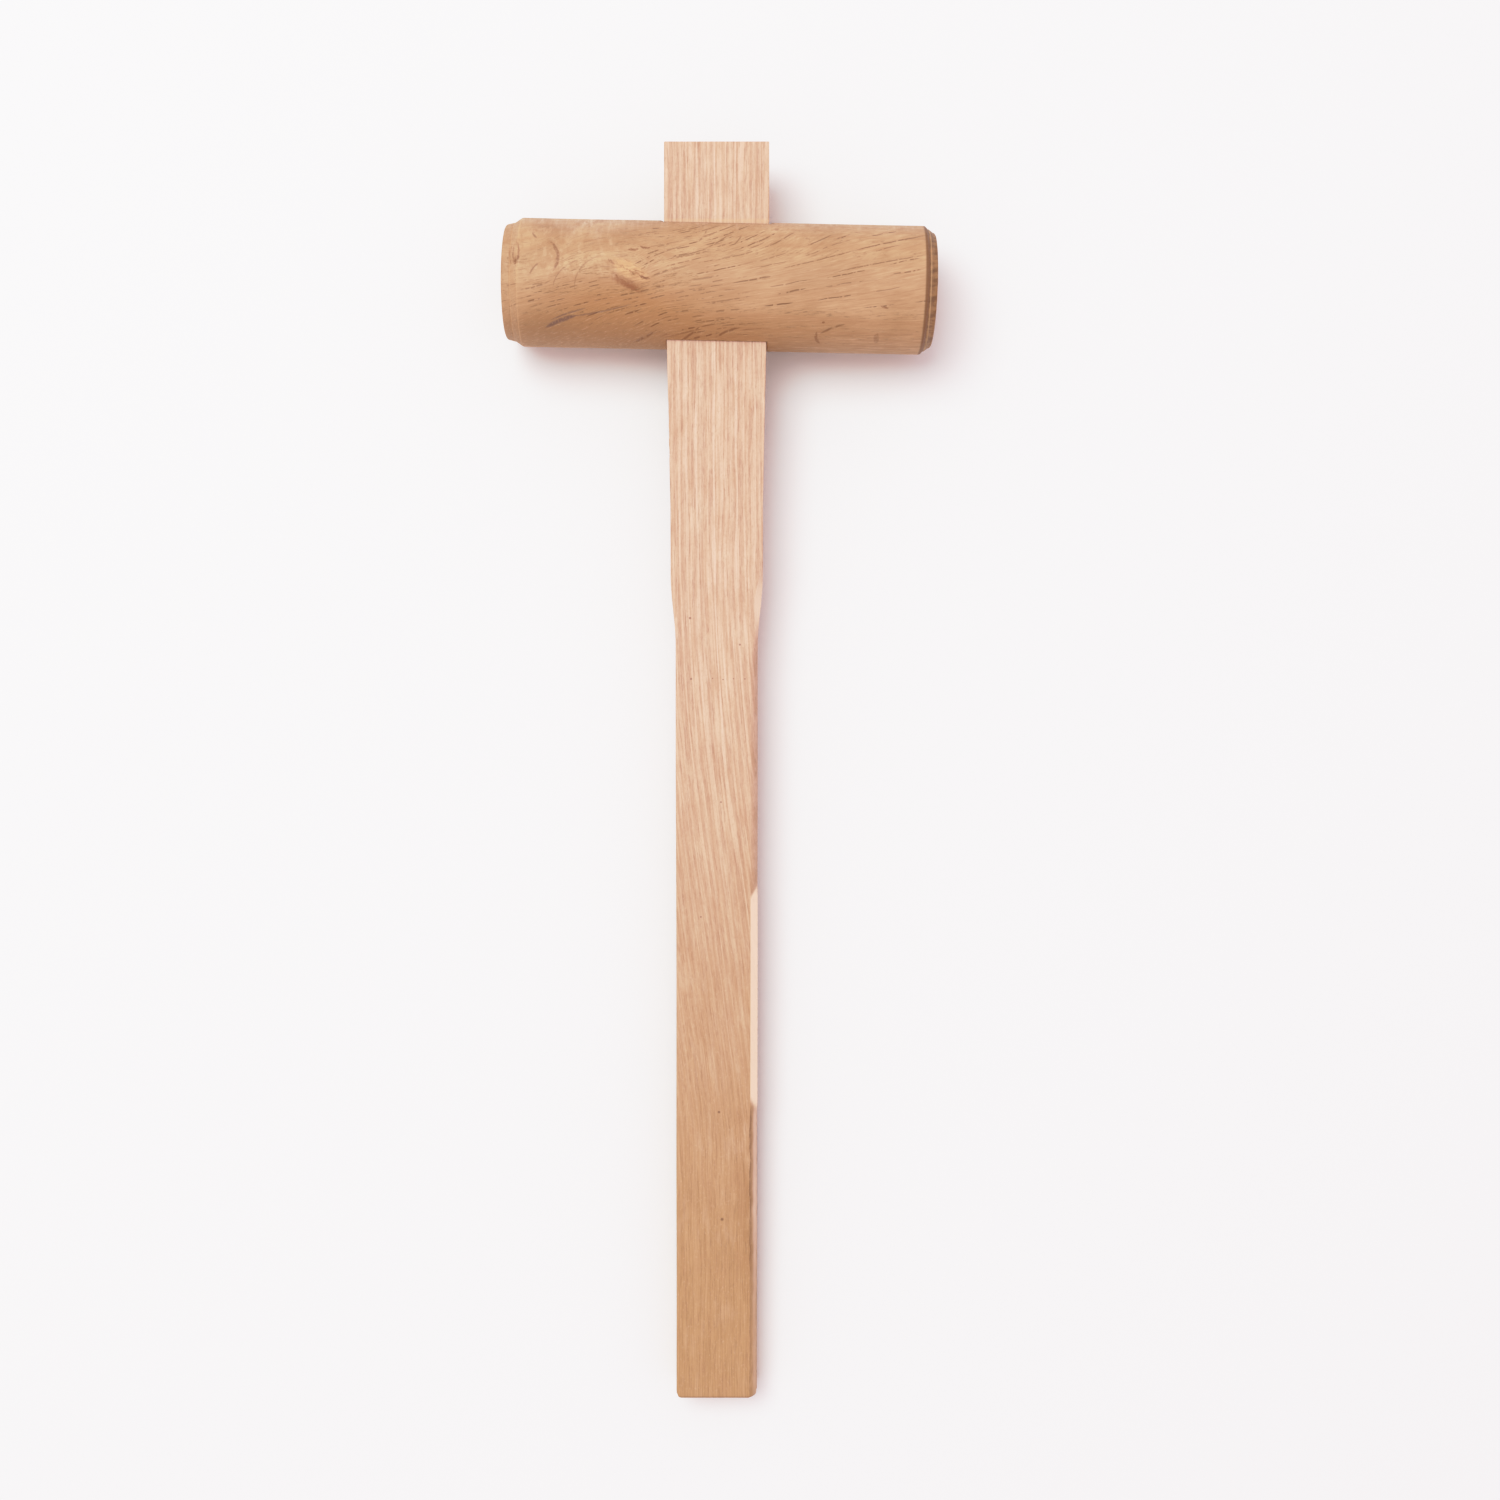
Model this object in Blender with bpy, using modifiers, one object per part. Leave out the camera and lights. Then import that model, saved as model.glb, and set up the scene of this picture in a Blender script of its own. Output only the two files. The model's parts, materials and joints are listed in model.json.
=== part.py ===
"""A carpenter's wooden mallet: a turned oak head on a flared oak handle that wedges in its eye.

The mallet lies on a bench as it would be put down, on the barrel of its head and the lower
edge of its butt, so the handle slopes a little. +X runs across, along the head, +Y runs
along the handle to its wide top end, and +Z is up. The origin is on the bench, under the
middle of the object. Distances "along the handle" are counted from the head's axis, and
are positive towards the top end.
"""

import math

import bmesh
import bpy

# Driving dimensions: metres, or radians for the angle.
HEAD_RADIUS = 0.0300
HEAD_LENGTH = 0.2030
# Each end is a bevel from the barrel down to a short turned nose: bevel length along the
# head, nose radius at the bevel's foot, and nose length. The two ends were not turned alike.
LEFT_END = (0.0036, 0.0276, 0.0042)
RIGHT_END = (0.0016, 0.0285, 0.0036)
NOSE_END_RADIUS = 0.0270  # where the nose's edge starts to round
EDGE_ROUND = 0.0012  # radius of the striking face's edge
HEAD_SKEW = math.radians(1.16)  # the eye is not quite square to the head

HANDLE_LENGTH = 0.6000
HANDLE_TOP = 0.0657  # along the handle, its top end
HANDLE_THICKNESS = 0.0213
HANDLE_OFFSET = -0.0014  # the handle's place along the head, from the head's middle
TOP_WIDTH = 0.0496
TAPER_START = 0.0300
TAPER_END = -0.1060
WAIST_WIDTH = 0.0438
SHOULDER_START = -0.1370
SHOULDER_END = -0.1720
GRIP_WIDTH = 0.0390
ARRIS = 0.0010  # bevel on the handle's long edges

FIT_GAP = 0.0003  # between the handle and the walls of its eye
EYE_OVERRUN = 0.0150  # how far the eye's cutter stands past the barrel

# How finely round stretches are stepped.
HEAD_STEPS = 72
EDGE_STEPS = 4
SHOULDER_STEPS = 8

MERGE = 0.00005
HEAD_COLOUR = (0.58, 0.34, 0.18)
HANDLE_COLOUR = (0.76, 0.54, 0.38)
OAK_ROUGHNESS = 0.62


def clear_scene():
    for obj in list(bpy.data.objects):
        bpy.data.objects.remove(obj, do_unlink=True)


def collection(name):
    group = bpy.data.collections.new(name)
    bpy.context.scene.collection.children.link(group)
    return group


def wood(name, colour):
    material = bpy.data.materials.new(name)
    material.use_nodes = True
    shader = material.node_tree.nodes["Principled BSDF"]
    shader.inputs["Base Color"].default_value = (*colour, 1.0)
    shader.inputs["Roughness"].default_value = OAK_ROUGHNESS
    shader.inputs["Metallic"].default_value = 0.0
    return material


def mesh_of(obj, group):
    """Replaces obj with a mesh object of its evaluated, welded shape, under the same name."""
    name, matrix = obj.name, obj.matrix_world.copy()
    depsgraph = bpy.context.evaluated_depsgraph_get()
    mesh = bpy.data.meshes.new_from_object(obj.evaluated_get(depsgraph))
    bpy.data.objects.remove(obj, do_unlink=True)
    shape = bmesh.new()
    shape.from_mesh(mesh)
    bmesh.ops.remove_doubles(shape, verts=shape.verts, dist=MERGE)
    bmesh.ops.dissolve_limit(
        shape, angle_limit=math.radians(0.2), verts=shape.verts, edges=shape.edges
    )
    bmesh.ops.recalc_face_normals(shape, faces=shape.faces)
    shape.to_mesh(mesh)
    shape.free()
    made = bpy.data.objects.new(name, mesh)
    made.matrix_world = matrix
    group.objects.link(made)
    return made


def end_profile(bevel_length, nose_radius, nose_length):
    """One end's line as (radius, place along the head), from the face's middle to the barrel."""
    half = HEAD_LENGTH / 2
    face_edge = half - EDGE_ROUND
    line = [(0.0, half)]
    for step in range(EDGE_STEPS + 1):
        turn = math.pi / 2 * step / EDGE_STEPS
        radius = NOSE_END_RADIUS - EDGE_ROUND + EDGE_ROUND * math.sin(turn)
        line.append((radius, face_edge + EDGE_ROUND * math.cos(turn)))
    line.append((nose_radius, half - nose_length))
    line.append((HEAD_RADIUS, half - nose_length - bevel_length))
    return line


def head_profile():
    """The head's outer line, from the right face to the left one."""
    right, left = end_profile(*RIGHT_END), end_profile(*LEFT_END)
    return right + [(radius, -place) for radius, place in reversed(left)]


def turned_head(group):
    """The barrel and its two noses, turned about the head's axis, which lies along X."""
    mesh = bpy.data.meshes.new("head")
    line = [(radius, 0.0, place) for radius, place in head_profile()]
    mesh.from_pydata(line, [(i, i + 1) for i in range(len(line) - 1)], [])
    head = bpy.data.objects.new("head", mesh)
    group.objects.link(head)
    screw = head.modifiers.new("turned", "SCREW")
    screw.axis = "Z"
    screw.steps = HEAD_STEPS
    screw.render_steps = HEAD_STEPS
    screw.use_merge_vertices = True
    screw.merge_threshold = MERGE
    head = mesh_of(head, group)
    head.rotation_euler = (0.0, math.pi / 2, 0.0)
    head.data.shade_smooth()
    head.data.set_sharp_from_angle(angle=math.radians(25))
    return head


def handle_half_widths(top, bottom):
    """(half width, place) down the handle's side between two places along it."""
    rows = [(TOP_WIDTH, top), (TOP_WIDTH, TAPER_START)]
    rows += [(WAIST_WIDTH, TAPER_END), (WAIST_WIDTH, SHOULDER_START)]
    for step in range(1, SHOULDER_STEPS + 1):
        share = step / SHOULDER_STEPS
        ease = (1 - math.cos(math.pi * share)) / 2
        width = WAIST_WIDTH + (GRIP_WIDTH - WAIST_WIDTH) * ease
        rows.append((width, SHOULDER_START + (SHOULDER_END - SHOULDER_START) * share))
    rows.append((GRIP_WIDTH, bottom))
    return [(width / 2, place) for width, place in rows]


def eye_half_widths():
    """(half width, place) of the eye's wall: the handle's taper, run on past the barrel."""
    reach = HEAD_RADIUS + EYE_OVERRUN
    slope = (TOP_WIDTH - WAIST_WIDTH) / (TAPER_START - TAPER_END)
    bottom_width = TOP_WIDTH - slope * (TAPER_START + reach)
    rows = [(TOP_WIDTH, reach), (TOP_WIDTH, TAPER_START), (bottom_width, -reach)]
    return [(width / 2 + FIT_GAP, place) for width, place in rows]


def slab(name, half_widths, thickness, group):
    """A flat piece with the given sides, its thickness centred on the handle's middle plane."""
    curve = bpy.data.curves.new(name, "CURVE")
    curve.dimensions = "2D"
    curve.fill_mode = "BOTH"
    curve.extrude = thickness / 2
    right = list(half_widths)
    left = [(-half, place) for half, place in reversed(right)]
    spline = curve.splines.new("POLY")
    spline.points.add(len(right + left) - 1)
    for point, (across, along) in zip(spline.points, right + left):
        point.co = (across, along, 0.0, 1.0)
    spline.use_cyclic_u = True
    outline = bpy.data.objects.new(name, curve)
    group.objects.link(outline)
    return mesh_of(outline, group)


def place_in_eye(obj, frame):
    """Puts a piece made about the handle's centreline in its place on the head."""
    obj.parent = frame
    obj.location = (HANDLE_OFFSET, 0.0, 0.0)
    obj.rotation_euler = (0.0, 0.0, HEAD_SKEW)


def resting_frame(group):
    """An empty on the head's axis, tilted so the barrel and the butt's edge meet the bench."""
    butt = (HANDLE_LENGTH - HANDLE_TOP) * math.cos(HEAD_SKEW)
    half_thickness = HANDLE_THICKNESS / 2
    slope = math.asin(HEAD_RADIUS / math.hypot(butt, half_thickness))
    slope -= math.atan2(half_thickness, butt)
    handle_middle = HANDLE_TOP - HANDLE_LENGTH / 2
    frame = bpy.data.objects.new("resting_frame", None)
    frame.location = (0.0, -handle_middle * math.cos(slope), HEAD_RADIUS)
    frame.rotation_euler = (slope, 0.0, -HEAD_SKEW)
    group.objects.link(frame)
    return frame


def main():
    clear_scene()
    mallet = collection("wooden_mallet")
    cutters = collection("cutters")
    frame = resting_frame(mallet)

    head = turned_head(mallet)
    head.parent = frame
    head.data.materials.append(wood("head_oak", HEAD_COLOUR))

    eye = slab("eye_cutter", eye_half_widths(), HANDLE_THICKNESS + 2 * FIT_GAP, cutters)
    place_in_eye(eye, frame)
    eye.hide_render = True
    eye.display_type = "WIRE"
    cut = head.modifiers.new("eye", "BOOLEAN")
    cut.operation = "DIFFERENCE"
    cut.solver = "EXACT"
    cut.object = eye

    butt = HANDLE_TOP - HANDLE_LENGTH
    handle = slab("handle", handle_half_widths(HANDLE_TOP, butt), HANDLE_THICKNESS, mallet)
    place_in_eye(handle, frame)
    handle.data.materials.append(wood("handle_oak", HANDLE_COLOUR))
    arris = handle.modifiers.new("arris", "BEVEL")
    arris.width = ARRIS
    arris.segments = 2
    arris.limit_method = "ANGLE"
    arris.angle_limit = math.radians(40)


main()
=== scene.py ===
"""The looks of the wooden mallet: two detailed oak pieces that ride on the CAD bodies.

Both pieces are built as grids of points in numpy. Each point also carries its place in the
timber, in millimetres, so that growth rings, rays, pores and end grain run through the wood.
"""

import json
import math
from types import SimpleNamespace

import bpy
import numpy as np
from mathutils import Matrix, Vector, noise


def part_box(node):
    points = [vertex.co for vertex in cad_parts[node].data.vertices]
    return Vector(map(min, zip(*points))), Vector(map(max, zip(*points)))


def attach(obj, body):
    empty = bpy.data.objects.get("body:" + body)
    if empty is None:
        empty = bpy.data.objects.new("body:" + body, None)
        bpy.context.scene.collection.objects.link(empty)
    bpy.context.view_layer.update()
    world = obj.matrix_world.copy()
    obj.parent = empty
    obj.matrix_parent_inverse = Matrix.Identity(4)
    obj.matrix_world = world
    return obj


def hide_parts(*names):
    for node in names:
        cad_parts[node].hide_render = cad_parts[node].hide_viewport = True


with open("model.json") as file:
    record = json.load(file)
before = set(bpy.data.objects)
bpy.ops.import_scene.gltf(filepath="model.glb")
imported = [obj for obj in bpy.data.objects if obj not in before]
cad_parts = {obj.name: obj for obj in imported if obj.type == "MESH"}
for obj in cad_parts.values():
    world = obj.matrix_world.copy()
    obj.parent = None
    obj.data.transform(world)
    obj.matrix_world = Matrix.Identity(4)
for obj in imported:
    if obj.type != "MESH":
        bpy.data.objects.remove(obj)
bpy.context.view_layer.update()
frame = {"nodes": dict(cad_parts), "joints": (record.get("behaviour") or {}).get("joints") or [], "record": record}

MM = 0.001


# ---- the frame

def unit(vector):
    return vector / np.linalg.norm(vector)


def cad_points(node):
    return np.array([v.co for v in frame["nodes"][node].data.vertices], float)


faces = {m["name"]: np.array(m["pos_m"]) for m in frame["record"]["mounts"]}
face_left, face_right = faces["striking_face_left"], faces["striking_face_right"]
head_low, head_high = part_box("head")
handle_low, handle_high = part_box("handle")

# The head's axis runs to the right. The handle's axis runs to its wide top end.
HEAD_CENTRE = (face_left + face_right) / 2
HEAD_ALONG = unit(face_right - face_left)
HANDLE_ALONG = unit(np.array(frame["joints"][0]["axis"]))
UP = unit(np.cross(HEAD_ALONG, HANDLE_ALONG))
HEAD_TO_TOP = np.cross(UP, HEAD_ALONG)
HANDLE_ACROSS = np.cross(HANDLE_ALONG, UP)
HEAD_HALF = float(np.linalg.norm(face_right - face_left) / 2)
HEAD_RADIUS = (head_high.z - head_low.z) / 2

handle_middle = (handle_low.x + handle_high.x) / 2
HANDLE_OFFSET = (handle_middle - HEAD_CENTRE[0]) / HEAD_ALONG[0]
HANDLE_ORIGIN = HEAD_CENTRE + HEAD_ALONG * HANDLE_OFFSET
handle_cad = cad_points("handle") - HANDLE_ORIGIN
HANDLE_TOP = float((handle_cad @ HANDLE_ALONG).max())
HANDLE_BUTT = float((handle_cad @ HANDLE_ALONG).min())
HALF_THICK = float((handle_cad @ UP).max())
SKEW = math.atan2(float(HANDLE_ALONG @ -HEAD_ALONG), float(HANDLE_ALONG @ HEAD_TO_TOP))


# ---- small helpers

def ease(value, start, end):
    """0 before start, 1 after end, smooth between. start may be the larger."""
    share = np.clip((value - start) / (end - start), 0.0, 1.0)
    return share * share * (3 - 2 * share)


def hump(value, centre, half):
    """1 at the centre, falling smoothly to 0 at half away from it."""
    share = np.clip(1 - np.abs(value - centre) / half, 0.0, 1.0)
    return share * share * (3 - 2 * share)


def wander(points, size, seed=0.0):
    """Smooth noise in -1 to 1 at each point, with features about size across."""
    shift = Vector((seed * 7.3, seed * 3.1, seed * 5.7))
    return np.array([noise.noise(Vector(p) / size + shift) for p in points])


def mesh_piece(name, points, quads, smooth_angle):
    """A closed mesh object with its faces pointing out."""
    mesh = bpy.data.meshes.new(name)
    mesh.from_pydata([tuple(p) for p in points], [], quads)
    mesh.validate()
    piece = bpy.data.objects.new(name, mesh)
    bpy.context.scene.collection.objects.link(piece)
    mesh.shade_smooth()
    mesh.set_sharp_from_angle(angle=math.radians(smooth_angle))
    return piece


def point_vectors(piece, name, rows):
    layer = piece.data.attributes.new(name, "FLOAT_VECTOR", "POINT")
    layer.data.foreach_set("vector", np.asarray(rows, np.float32).ravel())


def corner_values(piece, name, values):
    layer = piece.data.attributes.new(name, "FLOAT", "CORNER")
    layer.data.foreach_set("value", np.asarray(values, np.float32))


# ---- the handle's shape

TOP_HALF = 24.8 * MM
WAIST_HALF = 21.9 * MM
GRIP_HALF = 19.5 * MM
TAPER_START = 30 * MM
TAPER_END = -106 * MM
SHOULDER_START = -137 * MM
SHOULDER_END = -172 * MM
EYE_GAP = 0.15 * MM


def handle_half(along):
    """Half the handle's width: parallel at the top, tapered, then the shoulder and grip."""
    taper = np.clip((TAPER_START - along) / (TAPER_START - TAPER_END), 0.0, 1.0)
    half = TOP_HALF + (WAIST_HALF - TOP_HALF) * taper
    drop = np.clip((SHOULDER_START - along) / (SHOULDER_START - SHOULDER_END), 0.0, 1.0)
    return half + (GRIP_HALF - WAIST_HALF) * (1 - np.cos(np.pi * drop)) / 2


FACET_MIDDLE = -150 * MM
FACET_HALF = 21 * MM
SHAVED_START = -288 * MM
SHAVED_END = -391 * MM
NICKS = (-58 * MM, -64 * MM, -71 * MM, -80 * MM)
BUTT_ROUND = 1.1 * MM
TOP_ROUND = 0.35 * MM
# How far the butt's corners are worn round, seen from above: left, then right.
BUTT_CORNERS = ((-1, 3.2 * MM), (1, 1.6 * MM))
# In millimetres: an arris as it was planed, the worn ones at the back and the left, and
# what each stretch of the front right arris adds to its width and its depth.
CRISP = 0.35
BACK_ARRIS = 1.4
LEFT_ARRIS = 1.1
FACET_CUT = (3.0, 3.6)
GRIP_CUT = (2.9, 6.0)
SHAVED_CUT = (0.2, -3.2)
HEWN_DEPTH = 1.5
GRAIN_SLOPE = 0.13  # how far the grain runs out to the right, to each unit down the grip
ARRIS_STEPS = 6
WIDE_STEPS = 22
THICK_STEPS = 10
HANDLE_STEP = 1.5 * MM


def right_arris(along):
    """(width, depth, roundness) of the front right arris: a facet on the shoulder, a
    rounded stretch, a flat shaved chamfer, then a rough hewn edge down to the butt."""
    grip = ease(along, SHOULDER_END + 12 * MM, SHOULDER_END - 4 * MM)
    shaved = ease(along, SHAVED_START + 3 * MM, SHAVED_START - 3 * MM)
    hewn = ease(along, SHAVED_END + 3 * MM, SHAVED_END - 5 * MM)
    facet = hump(along, FACET_MIDDLE, FACET_HALF)
    width, depth = (CRISP + facet * FACET_CUT[i] + grip * GRIP_CUT[i] + shaved * SHAVED_CUT[i]
                    for i in (0, 1))
    depth = depth + hewn * HEWN_DEPTH
    roundness = np.clip(1 - facet * 2 - shaved + hewn * 0.3, 0.0, 1.0)
    return width * MM, depth * MM, roundness


def plain_arris(along, size):
    """The same for an arris that is only worn round, size millimetres on the grip."""
    eased = ease(along, SHOULDER_START, SHOULDER_END - 20 * MM)
    width = (CRISP + (size - CRISP) * eased) * MM
    return width, width, np.ones_like(along)


def handle_section(along, half_left, half_right, half_thick):
    """The closed section at each place along, as (count, points, 2): across and up."""
    corners = (
        (1, 1, right_arris(along), half_right),
        (1, -1, plain_arris(along, BACK_ARRIS), half_right),
        (-1, -1, plain_arris(along, BACK_ARRIS), half_left),
        (-1, 1, plain_arris(along, LEFT_ARRIS), half_left),
    )
    arcs = []
    for side, face, (width, depth, roundness), half in corners:
        share = np.linspace(0, 1, ARRIS_STEPS + 1)
        if side * face < 0:
            share = share[::-1]
        turn = share * math.pi / 2
        curve_x = (1 - roundness)[:, None] * share + roundness[:, None] * np.sin(turn)
        curve_z = (1 - roundness)[:, None] * share + roundness[:, None] * (1 - np.cos(turn))
        across = half[:, None] - width[:, None] * (1 - curve_x)
        up = half_thick[:, None] - depth[:, None] * curve_z
        arcs.append(np.stack([side * across, face * up], axis=2))
    loop = []
    for index, steps in enumerate((THICK_STEPS, WIDE_STEPS, THICK_STEPS, WIDE_STEPS)):
        here, after = arcs[index], arcs[(index + 1) % 4]
        loop.append(here)
        for step in range(1, steps):
            share = step / steps
            loop.append(here[:, -1:] * (1 - share) + after[:, :1] * share)
    return np.concatenate(loop, axis=1)


def handle_rows():
    """(place along, inset) of each section: rounded butt, long grip, crisp top end."""
    rows = sorted((HANDLE_BUTT + BUTT_ROUND * (1 - math.cos(t)), BUTT_ROUND * (1 - math.sin(t)))
                  for t in np.linspace(0, math.pi / 2, 5))
    count = round((HANDLE_TOP - HANDLE_BUTT) / HANDLE_STEP)
    start, end = HANDLE_BUTT + BUTT_ROUND, HANDLE_TOP - TOP_ROUND
    rows += [(start + (end - start) * step / count, 0.0) for step in range(1, count)]
    rows += [(end + TOP_ROUND * math.sin(t), TOP_ROUND * (1 - math.cos(t)))
             for t in np.linspace(0, math.pi / 2, 3)]
    return np.array(rows)


def grain_lean(along):
    """How far the grain has run out to the right at each place along, in metres."""
    table = np.linspace(HANDLE_TOP, HANDLE_BUTT, 600)
    slope = GRAIN_SLOPE * ease(table, -85 * MM, -280 * MM) * ease(table, -440 * MM, -370 * MM)
    run = np.concatenate([[0.0], np.cumsum(slope[1:] * -np.diff(table))])
    return np.interp(along, table[::-1], run[::-1])


def handle_points():
    """Each point's place across, along and up, section by section: as it is, and as sawn,
    before it was hewn and nicked. The third value is how many points a section has."""
    rows = handle_rows()
    along, inset = rows[:, 0], rows[:, 1]
    place = np.stack([along * 0, along, along * 0], axis=1)
    half = handle_half(along)
    uneven = (0.06 + 0.14 * ease(along, -50 * MM, -90 * MM)) * MM
    left = half - inset + uneven * wander(place, 90 * MM, 1)
    right = half - inset + uneven * wander(place, 60 * MM, 2)
    thick = np.full_like(along, HALF_THICK) - inset
    thick += 0.06 * MM * (wander(place, 70 * MM, 3) - 1)
    section = handle_section(along, left, right, thick)
    around = section.shape[1]
    across, up = section[:, :, 0].ravel(), section[:, :, 1].ravel()
    down = np.repeat(along, around)

    reach = down - HANDLE_BUTT
    for side, size in BUTT_CORNERS:
        inside = np.clip(1 - reach / size, 0, 1)
        limit = GRIP_HALF - size * (1 - np.sqrt(1 - inside**2))
        cut = (reach < size) & (side * across > limit)
        across = np.where(cut, side * limit, across)

    sawn = np.stack([across, down, up], axis=1)
    local = sawn.copy()
    rough = ease(down, SHAVED_END, SHAVED_END - 12 * MM) * (across > 15 * MM) * (up > 0)
    local[:, 0] -= 0.35 * MM * rough * (1 + wander(local, 5 * MM, 4))
    local[:, 2] += 0.05 * MM * (wander(local * (1, 0.25, 1), 9 * MM, 5) - 1)
    left_edge = (across < -21 * MM) * ease(up, 6 * MM, HALF_THICK)
    for nick in NICKS:
        local[:, 0] += 0.5 * MM * left_edge * np.exp(-(((down - nick) / (1.6 * MM)) ** 2))
    return local, sawn, around


def handle_timber(local, sawn):
    """Each point's place in the timber: across the rings, along the grain, and depth."""
    across, down, up = sawn.T
    swirl = np.exp(-((across - 7 * MM) / (4 * MM)) ** 2 - ((down + 104 * MM) / (14 * MM)) ** 2)
    ring = across - grain_lean(down) + 0.55 * up - 1.3 * MM * swirl
    ring += 0.5 * MM * wander(local * (1, 0.12, 1), 14 * MM, 6)
    wavy = ease(down, -250 * MM, -380 * MM)
    ring += 0.8 * MM * wavy * wander(local * (1, 0.45, 1), 11 * MM, 7)
    return np.stack([ring, down, up], axis=1) / MM


def mark_handle(handle, sawn, around):
    """Marks face by face: a pale shaved chamfer and a painted highlight on the shoulder facet, the dark hewn edge
    with faint painted shade on the grip's arris, painted bounce light on the hewn arris's outer side, and end
    grain.
    """
    corner_count = len(handle.data.loops)
    vertex = np.zeros(corner_count, np.int32)
    handle.data.loops.foreach_get("vertex_index", vertex)
    loop_face = np.zeros(corner_count, np.int32)
    for polygon in handle.data.polygons:
        loop_face[polygon.loop_start:polygon.loop_start + polygon.loop_total] = polygon.index
    sides = loop_face < len(sawn) - around
    on_arris = sides & (loop_face % around < ARRIS_STEPS)
    across, along = sawn[vertex, 0], sawn[vertex, 1]
    slant = across - (GRIP_HALF - 3 * MM)
    shaved = ease(along - 1.6 * slant, SHAVED_START - 2 * MM, SHAVED_START - 4 * MM)
    shaved *= ease(along + 1.5 * slant, SHAVED_END - 1 * MM, SHAVED_END + 3 * MM)
    # Painted highlight: the shoulder facet, which faces down and to the right, made pale cream as if strongly lit.
    facet = 0.8 * ease(hump(along, FACET_MIDDLE, FACET_HALF), 0.05, 0.9)
    corner_values(handle, "pale_chamfer_and_highlight", on_arris * np.maximum(shaved, facet))

    # How far round the arris: 0 at the front face, 1 at the side.
    turned = (vertex % around) / ARRIS_STEPS
    front = np.clip(1 - 2.6 * turned, 0, 1)
    hewn = ease(along, SHAVED_END + 1 * MM, SHAVED_END - 6 * MM)
    hewn *= 1 - 0.6 * ease(along, SHAVED_END - 60 * MM, SHAVED_END - 90 * MM)
    # Painted shade: the grip's rounded arris, between the shoulder and the shaved chamfer, faces away from the
    # light and is made a little darker; it goes into the hewn mark.
    arris_shade = ease(along, SHOULDER_END + 4 * MM, SHOULDER_END - 10 * MM)
    arris_shade *= ease(along, SHAVED_START - 2 * MM, SHAVED_START + 6 * MM)
    corner_values(handle, "hewn", on_arris * np.maximum(front * hewn, 0.18 * arris_shade))
    # Painted light: the outer side of the hewn arris made paler, as light thrown back from the floor would.
    floor_bounce_light = ease(turned, 0.30, 0.60) * ease(along, SHAVED_END, SHAVED_END - 6 * MM)
    floor_bounce_light *= 1 - 0.7 * ease(along, SHAVED_END - 50 * MM, SHAVED_END - 100 * MM)
    corner_values(handle, "floor_bounce_light", on_arris * floor_bounce_light)
    corner_values(handle, "end_grain", (~sides).astype(float))


def build_handle():
    local, sawn, around = handle_points()
    points = HANDLE_ORIGIN + local @ np.array([HANDLE_ACROSS, HANDLE_ALONG, UP])
    quads = []
    for start in range(0, len(points) - around, around):
        for step in range(around):
            here, after = start + step, start + (step + 1) % around
            quads.append((here, after, after + around, here + around))
    quads.append(tuple(reversed(range(around))))
    quads.append(tuple(range(len(points) - around, len(points))))
    handle = mesh_piece("oak_handle", points, quads, 32)
    point_vectors(handle, "timber", handle_timber(local, sawn))
    point_vectors(handle, "place", local / MM)
    mark_handle(handle, sawn, around)
    return handle


# ---- the head's shape

# Each end's bevel length, nose radius at the foot of the bevel, and nose length.
LEFT_END = (3.6 * MM, 27.6 * MM, 4.2 * MM)
RIGHT_END = (1.6 * MM, 28.5 * MM, 3.6 * MM)
NOSE_END_RADIUS = 27.0 * MM
EDGE_ROUND = 1.3 * MM
RIM_ROUND = 1.6 * MM
RIM_PLACES = (0.35, 1.0, 2.2)  # where rows of points stand off the eye, in RIM_ROUNDs
FAR = 20.0  # millimetres: what "flow" holds for points that are clear of the eye's mouth
PITH = (9 * MM, -78 * MM)  # the middle of the growth rings, towards the top end and up
DENT_SEED = 5
DENT_COUNT = 26
FACE_STEPS = 14
EDGE_STEPS = 5
COLUMN_STEP = 1.0 * MM
EYE_WIDE_STEPS = 36
EYE_THICK_STEPS = 14
EYE_DEEP_STEPS = 24
SIDE_STEPS = 74


def head_end(bevel_length, nose_radius, nose_length):
    """(distance in from the face, radius), from the middle of the face to the barrel."""
    flat = NOSE_END_RADIUS - EDGE_ROUND
    line = [(0.0, flat * step / FACE_STEPS) for step in range(1, FACE_STEPS + 1)]
    for step in range(1, EDGE_STEPS + 1):
        turn = math.pi / 2 * step / EDGE_STEPS
        line.append((EDGE_ROUND * (1 - math.cos(turn)), flat + EDGE_ROUND * math.sin(turn)))
    neck = nose_length - 0.35 * MM
    line.append(((EDGE_ROUND + neck) / 2, (nose_radius + NOSE_END_RADIUS) / 2))
    line.append((neck, nose_radius))
    line.append((nose_length - 0.1 * MM, nose_radius - 0.12 * MM))
    line.append((nose_length + 0.15 * MM, nose_radius + 0.05 * MM))
    shoulder = nose_length + bevel_length
    line.append((shoulder - 0.3 * MM, HEAD_RADIUS - 0.22 * MM))
    line.append((shoulder + 0.35 * MM, HEAD_RADIUS - 0.02 * MM))
    return line


def eye_edges(turn):
    """Where the eye's left and right walls cut the barrel, along the head, at each turn."""
    to_top = HEAD_RADIUS * np.cos(turn)
    half = handle_half(to_top) + EYE_GAP
    middle = HANDLE_OFFSET - to_top * math.tan(SKEW)
    return middle - half, middle + half


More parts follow.
